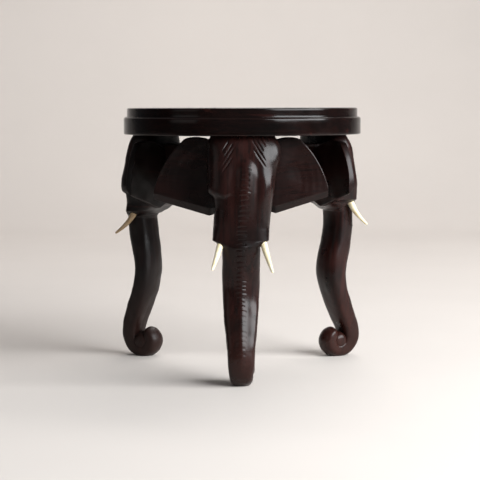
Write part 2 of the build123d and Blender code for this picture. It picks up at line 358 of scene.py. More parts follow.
def finish_piece(obj, material, slot, *nodes):
    """Gives a piece its material, hangs it from the root body and hides the CAD nodes it stands in for; slot is not
    used.
    """
    obj.data.materials.clear()
    obj.data.materials.append(material)
    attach(obj, "root")
    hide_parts(*nodes)
    return obj


# ---------------------------------------------------------------- the turned top

TOP_LOW, TOP_HIGH = (np.array(corner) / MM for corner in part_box("top_disc"))
TOP_R = (TOP_HIGH[0] - TOP_LOW[0]) / 2
UNDER_TOP, TOP_Z = TOP_LOW[2], TOP_HIGH[2]
STEP_Z = TOP_Z - (TOP_Z - UNDER_TOP) * 7.5 / 22  # the step is 7.5 mm down a 22 mm thick top
STEP_BACK = 2.8
BOTTOM_ROUND, STEP_ROUND, TOP_ROUND = 1.0, 2.0, 1.5
STEP_GROOVE = 0.5
OUT_OF_ROUND = 0.0006
TOP_SEGMENTS = 288


def quarter(centre_r, centre_z, radius, start, end, steps=6):
    """Points of an arc of a turned profile, from one angle to another in degrees."""
    angles = np.radians(np.linspace(start, end, steps))
    return [(centre_r + radius * math.cos(a), centre_z + radius * math.sin(a)) for a in angles]


def turned_top():
    """The round top with its stepped, rounded edge, a trace out of round as turned wood is once it has dried."""
    upper_r = TOP_R - STEP_BACK
    profile = [(r, UNDER_TOP) for r in (0.0, 30.0, 60.0, 80.0, 94.0)]
    profile += quarter(TOP_R - BOTTOM_ROUND, UNDER_TOP + BOTTOM_ROUND, BOTTOM_ROUND, -90, 0)
    profile += [(TOP_R, UNDER_TOP + 4.0), (TOP_R, STEP_Z - 5.0)]
    profile += quarter(TOP_R - STEP_ROUND, STEP_Z - STEP_ROUND, STEP_ROUND, 0, 90)
    profile += quarter(upper_r + 0.55, STEP_Z + 0.45, STEP_GROOVE, -90, -180, 4)
    profile += [(upper_r, STEP_Z + 2.0), (upper_r, TOP_Z - 2.6)]
    profile += quarter(upper_r - TOP_ROUND, TOP_Z - TOP_ROUND, TOP_ROUND, 0, 90)
    profile += [(r, TOP_Z) for r in (92.0, 80.0, 60.0, 40.0, 20.0, 0.0)]
    angles = np.linspace(0, 2 * math.pi, TOP_SEGMENTS, endpoint=False)
    wobble = 1 + OUT_OF_ROUND * np.sin(3 * angles + 0.4)
    points = [
        np.stack([r * wobble * np.cos(angles), r * wobble * np.sin(angles), np.full(TOP_SEGMENTS, z)], 1)
        for r, z in profile
    ]
    faces = tube_faces(len(profile), TOP_SEGMENTS, caps=False)
    obj = mesh_object("top", np.concatenate(points) * MM, faces)
    bm = bmesh.new()
    bm.from_mesh(obj.data)
    bmesh.ops.remove_doubles(bm, verts=bm.verts, dist=1e-6)
    bmesh.ops.recalc_face_normals(bm, faces=bm.faces)
    bm.to_mesh(obj.data)
    bm.free()
    return obj


# ---------------------------------------------------------------- head and trunk

RING_POINTS = 208
RING_STEP = 0.55
CHEEK_RING_STEP = 0.28

# Half widths of the head by height: one side tapers smoothly, the other keeps a lobe that steps in.
TAPERED_SIDE = curve([
    (198, 24.0), (192, 27.4), (186, 29.6), (179, 28.9), (172, 26.8), (165, 25.4), (157, 24.4), (148, 23.3),
    (140, 22.4), (128, 21.9), (105, 21.7),
])
STEPPED_SIDE = curve([
    (198, 25.9), (192, 28.3), (186, 29.1), (172, 28.9), (160, 28.6), (154, 28.2), (151.5, 26.6), (149.5, 24.2),
    (146, 23.2), (128, 23.0), (105, 22.8),
])
FACE_R = curve([
    (198, 93.5), (192, 96.6), (184, 99.3), (176, 101.4), (168, 102.9), (160, 103.9), (153, 104.5), (147, 104.8),
    (138, 104.9), (128, 104.9), (118, 104.9), (108, 105.0),
])
# How square each level ring is: 2 is an ellipse and more is boxier.
HEAD_SQUARENESS = curve([(198, 2.6), (180, 2.5), (160, 2.8), (140, 3.2), (118, 3.4)])
TRUNK_SQUARENESS = 2.7

# The back of the head slopes in from JAW_BACK to HEAD_BACK over BACK_SLOPE mm above the jaw.
JAW_BACK, HEAD_BACK, BACK_SLOPE = 88.0, 71.5, 10.5
JAW_HALF_WIDTH = 20.5

# The trunk's middle line as (r, height), with its half depth and half width, from inside the cheeks to the tip.
TRUNK = [
    (98.2, 122.0, 10.0, 15.1), (96.6, 108.0, 10.2, 15.0), (93.6, 93.0, 10.0, 15.0), (92.0, 79.0, 9.4, 14.9),
    (94.0, 66.0, 8.7, 14.4), (98.6, 52.5, 8.3, 13.4), (103.8, 39.5, 8.0, 12.2), (107.8, 28.0, 7.7, 11.1),
    (108.8, 17.0, 7.2, 10.4), (104.6, 8.4, 6.9, 9.3), (96.4, 5.6, 6.4, 9.0), (90.0, 8.6, 6.2, 9.3),
    (88.0, 14.6, 5.8, 9.2), (90.8, 19.6, 5.2, 8.9), (95.4, 20.6, 4.6, 8.2),
]
# How much of an elephant's own knee drop each of those points takes.
KNEE_DROP_SHARES = np.array([1.0] * 6 + [0.9, 0.5, 0.1] + [0.0] * 6)
KNEE_Z, KNEE_REACH = 82.0, 20.0
TRUNK_SAMPLES = 900
DOWNWARD_SAMPLES = 500  # the trunk still runs downward over these first samples
TRUNK_TIP_ROUND = 4.6

# The hub inside the curl of the trunk's end: its r, height, radius and half width.
CURL_HUB = (97.0, 13.5, 8.4, 9.6)
HUB_RINGS, HUB_SPINS = 20, 40

# The trunk's sideways sway, for a sway of 1, as (height, lateral).
SWAY = [(200, 1.1), (140, 0.7), (115, -0.9), (90, -1.3), (0, -1.2)]

# Carved slashes on the right temple, as (lateral, height) at each end; the left temple mirrors them, lower.
SLASHES = [((11.8, 198.0), (16.8, 189.5)), ((8.3, 196.5), (15.2, 185.8)), ((7.0, 193.5), (17.0, 177.6)),
           ((8.3, 186.0), (17.0, 172.8))]
LEFT_SLASH_DROP = 5.0
SLASH_DEPTH, SLASH_HALF_WIDTH = 0.80, 0.50

# Short cross cuts down the ridge, from the brow to just above the foot.
NICKS_FROM, NICKS_TO = 171.0, 9.0
NICK_SPACING = 4.1
NICK_HALF_LENGTH = 4.0
NICK_DEPTH, NICK_HALF_WIDTH = 0.42, 0.60
NICK_LIP_HEIGHT, NICK_LIP_AWAY, NICK_LIP_WIDTH = 0.08, 1.35, 0.5
CURL_RINGS = 60  # the last rings, round the curl, which take no cuts

# Unevenness left by the knife, as (size, height) in mm.
CARVED_RIPPLES = [(10.0, 0.14), (4.5, 0.03)]


def path_frames(cheek_bottom, jaw_bottom, habit):
    """Rings down the carving: middle r and height, the direction that faces front, half widths on the stepped and
    tapered sides, half depth and squareness."""
    swell, squarer, fuller = habit["swell"], habit["squarer"], habit["fuller"]
    rings = []
    heights = list(np.arange(UNDER_TOP + 0.3, cheek_bottom + 4.5, -RING_STEP))
    heights += list(np.arange(cheek_bottom + 4.5, cheek_bottom - 6, -CHEEK_RING_STEP))
    heights += list(np.arange(cheek_bottom - 6, jaw_bottom - 6, -RING_STEP))
    rows = np.array(TRUNK)
    rows[:, 1] -= habit["drop"] * KNEE_DROP_SHARES
    along = np.concatenate([[0], np.cumsum(np.hypot(np.diff(rows[:, 0]), np.diff(rows[:, 1])))])
    parts = [curve(list(zip(along, rows[:, k]))) for k in range(4)]
    fine_along = np.linspace(0, along[-1], TRUNK_SAMPLES)
    trunk = np.stack([part(fine_along) for part in parts], 1)

    def level(z, k):
        """Column k of the trunk at a height on its way down."""
        return np.interp(-z, -trunk[:DOWNWARD_SAMPLES, 1], trunk[:DOWNWARD_SAMPLES, k])

    # Level rings down the head. The cheeks end in a crisp edge, below which the rings become the trunk's.
    for z in heights:
        edge = 0.32 * ease(cheek_bottom + 0.8, cheek_bottom - 1.2, z)
        into_trunk = edge + 0.68 * ease(cheek_bottom - 0.4, cheek_bottom - 5.4, z)
        face_back = np.interp(z, [jaw_bottom, jaw_bottom + BACK_SLOPE], [JAW_BACK, HEAD_BACK])
        past_jaw = ease(jaw_bottom + 1.5, jaw_bottom - 4.0, z)
        front = FACE_R(z) + (level(z, 0) + level(z, 2) - FACE_R(z)) * into_trunk
        back = face_back + (level(z, 0) - level(z, 2) - face_back) * past_jaw
        stepped = STEPPED_SIDE(z + habit["step_drop"] * ease(184, 164, z))
        tapered = TAPERED_SIDE(z) + fuller * ease(180, 150, z)
        widths = [side + (level(z, 3) - side) * into_trunk for side in (stepped, tapered)]
        square = HEAD_SQUARENESS(z) + squarer + 0.5 * fuller * ease(180, 150, z)
        square += (TRUNK_SQUARENESS - square) * into_trunk
        rings.append(((front + back) / 2, z, 1.0, 0.0, *widths, (front - back) / 2, square))

    # Rings across the trunk's own line, turning gradually from level, and closing round its tip.
    start = np.argmax(trunk[:, 1] < heights[-1] - 0.4)
    slope = np.gradient(trunk[:, :2], axis=0)
    slope /= np.linalg.norm(slope, axis=1)[:, None]
    last = along[-1]
    s = fine_along[start]
    while s < last:
        r, z, depth, half = (part(s) for part in parts)
        k = int(np.searchsorted(fine_along, s))
        turnover = ease(0.0, 26.0, s - fine_along[start])
        toward = slope[min(k, TRUNK_SAMPLES - 1)] * turnover + np.array([0.0, -1.0]) * (1 - turnover)
        toward /= np.linalg.norm(toward)
        past_round = max(0.0, (s - (last - TRUNK_TIP_ROUND)) / TRUNK_TIP_ROUND)
        close = math.sqrt(max(0.0, 1 - past_round ** 2))
        bulge = swell * math.exp(-((z - KNEE_Z) / KNEE_REACH) ** 2) / 2
        wide = half * (0.35 + 0.65 * close)
        deep = max(0.3, (depth + bulge) * close)
        square = TRUNK_SQUARENESS + 1.1 * ease(30, 90, s) - 1.0 * ease(104, 124, s)
        rings.append((r - bulge, z, -toward[1], toward[0], wide, wide, deep, square))
        s += RING_STEP
    return rings


def even_angles(left, right, depth, square):
    """Angles round one ring that space its points evenly, closer together in front, where the carving is."""
    t = np.linspace(0, 2 * math.pi, 721)
    power = 2 / square
    half = np.where(np.cos(t) < 0, left, right)
    u = np.sign(np.cos(t)) * np.abs(np.cos(t)) ** power * half
    v = np.sign(np.sin(t)) * np.abs(np.sin(t)) ** power * depth
    gap = np.hypot(np.diff(u), np.diff(v)) * (1 + 1.0 * (v[1:] > 0.5 * depth))
    done = np.concatenate([[0], np.cumsum(gap)])
    return np.interp(np.linspace(0, done[-1], RING_POINTS, endpoint=False), done, t)


def face_relief(u, z, ridge_u, on_head, habit):
    """How far the face's rounded forms stand out: the middle ridge, the valleys beside it and the temple lobes."""
    aside = np.abs(u - ridge_u)
    crown = ease(181.0, 171.0, z + 0.10 * aside**2)
    ridge = np.exp(-(aside / 6.6) ** 2.2) * crown * (0.7 + 1.7 * ease(122, 168, z))
    low_ridge = np.exp(-(aside / 3.6) ** 2) * (0.4 + 0.9 * ease(112, 70, z)) * ease(8, 30, z) * (1 - on_head)
    valley = -np.exp(-((aside - 9.5) / 4.0) ** 2) * 1.1 * ease(191, 172, z) * ease(120, 160, z)
    valley *= 1 - 0.5 * ease(2.0, -2.0, u)
    on_step = ease(-2.0, 2.0, u * habit["stepped"])
    step_z = 150.5 - habit["step_drop"] + 1.2 * np.sin(u * 0.5)
    keeps = on_step * ease(step_z - 1.6, step_z + 1.6, z) + (1 - on_step) * ease(126, 170, z)
    lobe = np.exp(-((np.abs(u) - 19.0) / 11.0) ** 2) * 2.0 * ease(198, 178, z) * keeps
    lobe *= 1 - 0.5 * ease(2.0, -2.0, u)
    lobe -= 1.7 * np.exp(-((u - 20.0) / 5.5) ** 2 - ((z - 174.0) / 17.0) ** 2)
    lobe += 1.6 * np.exp(-((u - 20.0) / 7.0) ** 2 - ((z - 157.0) / 11.0) ** 2)
    return ridge + low_ridge + valley + lobe


def cut_slashes(lift, u, z, front):
    """Takes the slanting slashes out of both temples."""
    for mirror, drop in ((1, 0.0), (-1, LEFT_SLASH_DROP)):
        for (l0, z0), (l1, z1) in SLASHES:
            start = np.array([mirror * l0, z0 - drop])
            along = np.array([mirror * l1, z1 - drop]) - start
            reach = np.hypot(*along)
            along /= reach
            du, dz = u - start[0], z - start[1]
            t = np.clip(du * along[0] + dz * along[1], 0, reach)
            away = np.hypot(du - t * along[0], dz - t * along[1])
            taper = np.sqrt(np.clip(np.sin(math.pi * np.clip(t / reach, 0.02, 0.98)), 0, 1))
            lift -= SLASH_DEPTH * taper * np.exp(-(away / SLASH_HALF_WIDTH) ** 2) * (front > 0.2)


def cut_nicks(lift, places, u, z, travelled, front, draw):
    """Takes the short uneven cross cuts out of the ridge, each with a low lip on both sides."""
    for place in places:
        tilt, shift, reach = draw.normal(0, 0.06), draw.normal(0, 0.35), NICK_HALF_LENGTH * draw.uniform(0.7, 1.1)
        du = u - shift
        across = travelled - place - draw.normal(0, 0.3) - tilt * du - 0.022 * du**2
        ends = ease(reach + 0.7, reach - 0.7, np.abs(du))
        ends = ends * (0.35 + 0.65 * ease(35, 95, z))
        lift -= NICK_DEPTH * ends * np.exp(-(across / NICK_HALF_WIDTH) ** 2) * front
        lip = (np.abs(across) - NICK_LIP_AWAY) / NICK_LIP_WIDTH
        lift += NICK_LIP_HEIGHT * ends * np.exp(-lip ** 2) * front


def curl_hub(outset):
    """Rings of the closed hub that fills the curl, from one side to the other."""
    hub_r, hub_z, hub_radius, hub_half = CURL_HUB
    hub = []
    for i in range(HUB_RINGS):
        a = math.pi * (i + 0.5) / HUB_RINGS
        radius = hub_radius * math.sin(a) ** 0.6
        for j in range(HUB_SPINS):
            b = 2 * math.pi * j / HUB_SPINS
            r, z = hub_r + outset + radius * math.cos(b), hub_z + radius * math.sin(b)
            hub.append((-hub_half * math.cos(a), r, z))
    return np.array(hub)


def carving(name, turn, cheek_bottom, jaw_bottom, outset, habit, seed):
    """The head and trunk of one elephant as a single carved surface."""
    draw = np.random.default_rng(seed)
    rings = path_frames(cheek_bottom, jaw_bottom, habit)
    middle, height, fr, fz, step_half, taper_half, depth, square = (np.array(c) for c in zip(*rings))
    count = len(rings)
    left, right = (step_half, taper_half) if habit["stepped"] < 0 else (taper_half, step_half)

    # Each ring is a rounded box of points (u, v), u to the side and v to its front, with normals (nu, nv).
    angle = np.stack([even_angles(*ring) for ring in zip(left, right, depth, square)])
    cosine, sine = np.cos(angle), np.sin(angle)
    power = (2 / square)[:, None]
    half = np.where(cosine < 0, left[:, None], right[:, None])
    u = np.sign(cosine) * np.abs(cosine) ** power * half
    v = np.sign(sine) * np.abs(sine) ** power * depth[:, None]
    nu = np.sign(cosine) * np.abs(cosine) ** (2 - power) / half
    nv = np.sign(sine) * np.abs(sine) ** (2 - power) / depth[:, None]
    length = np.hypot(nu, nv) + 1e-9
    nu, nv = nu / length, nv / length
    z = np.broadcast_to(height[:, None], u.shape)
    travelled = np.concatenate([[0], np.cumsum(np.hypot(np.diff(middle), np.diff(height)))])
    travelled = np.broadcast_to(travelled[:, None], u.shape)
    front = np.clip(nv, 0, 1) ** 0.6
    on_head = ease(cheek_bottom - 3, cheek_bottom + 8, z)

    # The jaw behind the trunk is wider than the trunk.
    jaw_edge = np.interp(z, [jaw_bottom, cheek_bottom + 0.01], [JAW_BACK, 99.0])
    in_jaw = ease(jaw_edge + 1.5, jaw_edge - 1.5, middle[:, None] + v)
    in_jaw = in_jaw * ease(jaw_bottom - 2.5, jaw_bottom + 1.0, z)
    u = u * (1 + (np.maximum(JAW_HALF_WIDTH / half, 1) - 1) * in_jaw * (z < cheek_bottom + 2))

    ridge_u = 1.9 * ease(110, 175, z)
    lift = face_relief(u, z, ridge_u, on_head, habit) * front
    cut_slashes(lift, u, z, front)
    upright = slice(0, count - CURL_RINGS)
    first_nick, last_nick = np.interp([-NICKS_FROM, -NICKS_TO], -height[upright], travelled[upright, 0])
    cut_nicks(lift, np.arange(first_nick, last_nick, NICK_SPACING), u - ridge_u, z, travelled, front, draw)

    u = u + nu * lift
    v = v + nv * lift
    sway_z, sway_u = np.array(SWAY).T
    lateral = u + np.interp(-z, -sway_z, sway_u * habit["sway"])
    r = middle[:, None] + v * fr[:, None]
    h = z + v * fz[:, None]
    rows = np.stack([lateral.ravel(), r.ravel(), h.ravel()], 1)
    soft = sum(ripple(rows, size, seed + i) * high for i, (size, high) in enumerate(CARVED_RIPPLES))
    rows += np.stack([nu.ravel(), (nv * fr[:, None]).ravel(), (nv * fz[:, None]).ravel()], 1) * soft[:, None]
    rows[:, 2] = np.clip(rows[:, 2], 0.0, UNDER_TOP + 0.3)
    rows[:, 1] += outset
    faces = tube_faces(count, RING_POINTS) + tube_faces(HUB_RINGS, HUB_SPINS, first=len(rows))
    return mesh_object(name, to_world(np.concatenate([rows, curl_hub(outset)]), turn), faces)


# ---------------------------------------------------------------- necks

NECK_HALF_WIDTH = 18.0
NECK_TOP, NECK_UNDER = 188.0, 154.0
NECK_KNEE_R = 50.0
NECK_SLOPE_END_R, NECK_FRONT_R = 72.5, 76.0
NECK_BEVEL = 1.3


def neck(name, turn, under_head, outset):
    """The bracket behind the head, mitred against the other two at the middle."""
    slope_end, head_r = NECK_SLOPE_END_R + outset, NECK_FRONT_R + outset
    outline = [(0.0, NECK_UNDER), (NECK_KNEE_R, NECK_UNDER), (slope_end, under_head), (head_r, under_head),
               (head_r, NECK_TOP), (0.0, NECK_TOP)]
    rows = [(side * NECK_HALF_WIDTH, r, z) for side in (-1, 1) for r, z in outline]
    count = len(outline)
    faces = [tuple(range(count)), tuple(range(2 * count - 1, count - 1, -1))]
    for i in range(count):
        k = (i + 1) % count
        faces.append((i, i + count, k + count, k))
    obj = mesh_object(name, to_world(rows, 0), faces)
    bm = bmesh.new()
    bm.from_mesh(obj.data)
    # The mitres lie 60 degrees either side of the neck, so three necks fit round the middle.
    for side in (-1, 1):
        geometry = list(bm.verts) + list(bm.edges) + list(bm.faces)
        normal = Vector((side * 0.5, -math.sqrt(0.75), 0.0))
        cut = bmesh.ops.bisect_plane(bm, geom=geometry, plane_co=(0, 0, 0), plane_no=normal, clear_inner=True)
        rim = [g for g in cut["geom_cut"] if isinstance(g, bmesh.types.BMEdge)]
        bmesh.ops.holes_fill(bm, edges=rim)
    bmesh.ops.recalc_face_normals(bm, faces=bm.faces)
    bmesh.ops.bevel(bm, geom=list(bm.edges), offset=NECK_BEVEL * MM, segments=3, affect="EDGES", profile=0.5)
    bmesh.ops.transform(bm, matrix=Matrix.Rotation(math.radians(turn), 4, "Z"), verts=bm.verts)
    bm.to_mesh(obj.data)
    bm.free()
    obj.data.polygons.foreach_set("use_smooth", [False] * len(obj.data.polygons))
    return obj


# ---------------------------------------------------------------- ears

# Beyond this lateral the front of an ear leans back, as 6.25 degrees of slope, so the ear thins toward its tip.
EAR_BEND_LATERAL = 27.0
EAR_BEND = math.tan(math.radians(6.25))
EAR_STATIONS = 150
EAR_IN_HEAD = 1.0
EAR_LOBE_LATERAL = 26.5  # where the lower edge is lowest
EAR_ROOT_RISE = 3.4
EAR_CORNER_RISE, EAR_TIP_RISE = 13.2, 8.0
EAR_ROOT_DROP, EAR_SHOULDER_DROP = 7.0, 1.4
EAR_CREST_SOFTNESS = 0.5
EAR_RIM = 0.7
EAR_BEVEL_ROOT, EAR_BEVEL_TIP = 6.0, 5.0
# The shallow hollow in an ear's front: its middle (lateral, height), its half sizes and its depth.
HOLLOW_MIDDLE, HOLLOW_SIZE, HOLLOW_DEPTH = (46, 168), (15, 17), 0.9
# Faint tool marks fan out round this (lateral, height).
FAN_MIDDLE, FAN_HEIGHT, FAN_FREQUENCY = (22.0, 158.0), 0.05, 1.15
EAR_RIPPLES = [(11.0, 0.16), (5.0, 0.05)]


def arc_height(a, b, c):
    """Height, as a function of lateral, along the upper side of the circle through three points."""
    (ax, ay), (bx, by), (cx, cy) = a, b, c
    d = 2 * (ax * (by - cy) + bx * (cy - ay) + cx * (ay - by))
    a2, b2, c2 = ax**2 + ay**2, bx**2 + by**2, cx**2 + cy**2
    x = (a2 * (by - cy) + b2 * (cy - ay) + c2 * (ay - by)) / d
    y = (a2 * (cx - bx) + b2 * (ax - cx) + c2 * (bx - ax)) / d
    radius = math.hypot(ax - x, ay - y)
    return lambda lateral: y + np.sqrt(np.maximum(0.0, radius**2 - (lateral - x) ** 2))


def ear_section(top, bottom, front, back, edge_height, bevel_height):
    """A closed cross section of an ear as (r, height): up the back, over the rim, down the front and the bevel."""
    edge = min(EAR_RIM, (front - back) / 5)
    bevel_depth = bevel_height * 5 / 6
    up_back = [(back, z) for z in np.linspace(bottom + 0.8, top - edge_height - 0.6, 14)]
    rim = [(back, top - edge_height), (back + 0.3 * edge, top - 0.3 * edge_height), (back + edge, top),
           ((front + back) / 2, top + 0.05), (front - edge, top), (front - 0.3 * edge, top - 0.3 * edge_height),
           (front, top - edge_height)]
    down_front = [(front, z) for z in np.linspace(top - edge_height - 0.6, bottom + bevel_height + 0.5, 34)]
    bevel = [(front - bevel_depth * s, bottom + bevel_height * (1 - s)) for s in (0.0, 0.06, 0.5, 0.94, 1.0)]
    under = [(front - bevel_depth - 0.3, bottom), (back + 0.4, bottom), (back, bottom + 0.4)]
    return np.array(up_back + rim + down_front + bevel + under)


def ear_outline(low, high, shoulder_at):
    """An ear's stations from root to tip, with its upper and lower edges there, as lateral, top and bottom."""
    root, reach = sorted((abs(low[0]), abs(high[0])))
    corner, crest = low[2] + EAR_CORNER_RISE, high[2]
    shoulder, tip = (shoulder_at, crest - EAR_SHOULDER_DROP), (reach, corner + EAR_TIP_RISE)
    bow = ((shoulder[0] + tip[0]) / 2 + 2.8, (shoulder[1] + tip[1]) / 2 + 1.6)
    rising = arc_height((root, crest - EAR_ROOT_DROP), (0.8 * shoulder_at, crest), shoulder)
    falling = arc_height(shoulder, bow, tip)
    share = np.linspace(0, 1, EAR_STATIONS)
    lateral = root - EAR_IN_HEAD + (reach - root + EAR_IN_HEAD) * (1 - (1 - share) ** 1.5)
    # The lower of the two arcs at each station, blended softly where they cross.
    soft = EAR_CREST_SOFTNESS
    top = -soft * np.log(np.exp((crest - rising(lateral)) / soft) + np.exp((crest - falling(lateral)) / soft))
    top = top + crest
    bottom = np.interp(lateral, [root, EAR_LOBE_LATERAL, reach], [low[2] + EAR_ROOT_RISE, low[2], corner])
    bottom = np.convolve(np.pad(bottom, 2, "edge"), np.ones(5) / 5, "valid")
    return lateral, top, bottom


def ear(name, turn, side, node, shoulder_at, seed):
    """A fan-shaped ear, thinner toward its tip, bevelled underneath and hollowed a little in front."""
    low, high = local_box(node, turn)
    lateral, top, bottom = ear_outline(low, high, shoulder_at)
    front = high[1] - np.maximum(0.0, lateral - EAR_BEND_LATERAL) * EAR_BEND
    steep = np.sqrt(1 + np.gradient(top, lateral) ** 2)
    reach = max(abs(low[0]), abs(high[0]))
    bevel = np.interp(lateral, [EAR_LOBE_LATERAL, reach], [EAR_BEVEL_ROOT, EAR_BEVEL_TIP])
    last = len(lateral) - 1
    draw_in = {last: 0.9, last - 1: 0.35}  # mm by which the last sections shrink, to round the tip
    rows = []
    for i, across in enumerate(lateral):
        edge_height = min(EAR_RIM * steep[i], (top[i] - bottom[i]) / 5)
        section = ear_section(top[i], bottom[i], front[i], low[1], edge_height, bevel[i])
        toward = section.mean(0) - section
        section = section + toward * (draw_in.get(i, 0.0) / np.linalg.norm(toward, axis=1).max())
        rows.append(np.column_stack([np.full(len(section), across), section]))
    count = len(rows[0])
    rows = np.concatenate(rows)
    on_front = ease(2.5, 4.5, rows[:, 1] - low[1]) * ease(1.0, 6.0, np.repeat(top, count) - rows[:, 2])
    on_front *= ease(0.5, 6.0, rows[:, 2] - np.repeat(bottom + bevel, count))
    away = [(rows[:, k] - middle) / size for k, middle, size in zip((0, 2), HOLLOW_MIDDLE, HOLLOW_SIZE)]
    rows[:, 1] -= on_front * (HOLLOW_DEPTH * np.exp(-(away[0] ** 2) - away[1] ** 2))
    fan = np.hypot(rows[:, 0] - FAN_MIDDLE[0], rows[:, 2] - FAN_MIDDLE[1])
    rows[:, 1] += on_front * FAN_HEIGHT * np.sin(fan * FAN_FREQUENCY) * ease(18, 30, fan)
    rows[:, 1] += sum(ripple(rows, size, seed + 3 * i) * high for i, (size, high) in enumerate(EAR_RIPPLES))
    rows[:, 0] *= side
    return mesh_object(name, to_world(rows, turn), tube_faces(len(lateral), count))


# ---------------------------------------------------------------- tusks

TUSK_RINGS, TUSK_SPINS = 60, 28
TUSK_SAG = np.array([0.0, -1.0, -0.55]) / math.hypot(1, 0.55)
TUSK_SAG_DEPTH = 3.0
TUSK_POINT_RADIUS = 0.95
# Where a tusk starts to taper and then to round off, and how far each goes on, as shares of its length.
TUSK_TAPER_FROM, TUSK_TAPER_LENGTH = 0.3, 0.7
TUSK_ROUND_FROM, TUSK_ROUND_LENGTH = 0.955, 0.045
TUSK_WIDER, TUSK_THINNER = 1.06, 0.94


def tusk(name, turn, side, node, thick):
    """A slim curved tusk that tapers to a rounded point."""
    low, high = local_box(node, turn)
    inner, outer = sorted((abs(low[0]), abs(high[0])))
    root = np.array([inner + 0.65 * thick, low[1] + 0.4 * thick, high[2] - 0.4 * thick])
    tip = np.array([outer - 0.6, high[1] - 0.8, low[2] + 0.5])
    chord = tip - root
    t = np.linspace(0, 1, TUSK_RINGS)
    middle = root + chord * t[:, None] + TUSK_SAG * (TUSK_SAG_DEPTH * np.sin(math.pi * t**1.15))[:, None]
    direction = np.gradient(middle, axis=0)
    direction /= np.linalg.norm(direction, axis=1)[:, None]
    across = np.cross(direction, [0.0, 1.0, 0.2])
    across /= np.linalg.norm(across, axis=1)[:, None]
    other = np.cross(direction, across)
    taper = np.clip((t - TUSK_TAPER_FROM) / TUSK_TAPER_LENGTH, 0, 1)
    radius = thick + (TUSK_POINT_RADIUS - thick) * taper ** 1.25
    point = ((t - TUSK_ROUND_FROM) / TUSK_ROUND_LENGTH).clip(0, 0.995)
    radius = radius * np.sqrt(np.clip(1 - point ** 2, 0.01, 1))
    rows = []
    for i in range(TUSK_RINGS):
        for j in range(TUSK_SPINS):
            a = 2 * math.pi * j / TUSK_SPINS
            offset = across[i] * math.cos(a) * TUSK_WIDER + other[i] * math.sin(a) * TUSK_THINNER
            rows.append(middle[i] + radius[i] * offset)
    rows = np.array(rows)
    rows[:, 0] *= side
    return mesh_object(name, to_world(rows, turn), tube_faces(TUSK_RINGS, TUSK_SPINS))


# ---------------------------------------------------------------- the whole stand

# How the three hand-carved elephants differ:
#   stepped    the side, -1 for left, whose temple lobe steps in; step_drop is how much lower it does, in mm
#   sway       how far the trunk sways sideways, as a share of SWAY
#   swell      how much deeper the trunk's knee is, in mm; drop is how much lower it sits
#   squarer    added to the head's squareness; fuller widens its tapered side low down, in mm
#   shoulder   the lateral at which the ear's upper edge turns down, in mm
#   red        how warm the wood is, kept low on the left elephant as painted shade; polish is the range of its roughness
#   tusk       the tusks' radius, in mm
HABITS = {
    "front_elephant": {
        "stepped": -1, "step_drop": 0.0, "sway": 1.0, "swell": 0.0, "drop": 0.0, "squarer": 0.0, "fuller": 0.0,
        "shoulder": 46.5, "red": 0.65, "polish": (0.24, 0.34), "tusk": 2.55,
    },
    "right_elephant": {
        "stepped": 1, "step_drop": 3.0, "sway": 0.3, "swell": 2.0, "drop": 6.0, "squarer": 0.9, "fuller": 3.0,
        "shoulder": 57.0, "red": 0.95, "polish": (0.24, 0.36), "tusk": 2.95,
    },
    "left_elephant": {
        # Painted shade: this elephant's low red share darkens its wood for the shade it stands in.
        "stepped": 1, "step_drop": 4.3, "sway": 0.3, "swell": -1.6, "drop": 0.0, "squarer": 0.9, "fuller": 0.0,
        "shoulder": 57.0, "red": 0.25, "polish": (0.36, 0.48), "tusk": 2.75,
    },
}
# Painted shade: the tusks of this elephant, which lie in shadow, are darkened brown by this share.
SHADE_PAINTED_TUSKS = "left_elephant"
PAINTED_TUSK_SHADE = 0.72

# The r of a top dowel's middle in an elephant with no outset, and the dowel's radius.
DOWEL_R, DOWEL_RADIUS = 83.0, 4.0
# Where the lower edges of the cheeks and of the back of the head are read from the CAD, for no outset.
CHEEK_R, CHEEK_LATERAL = (99.5, 110.0), 17.0
UNDER_HEAD_R = (71.0, 74.0)
FOOT_WARMTH_HEIGHT = 0.075  # in metres
EAR_RED_SHARE = 0.45
HIDDEN_PARTS = ("dowel", "dowels", "peg")


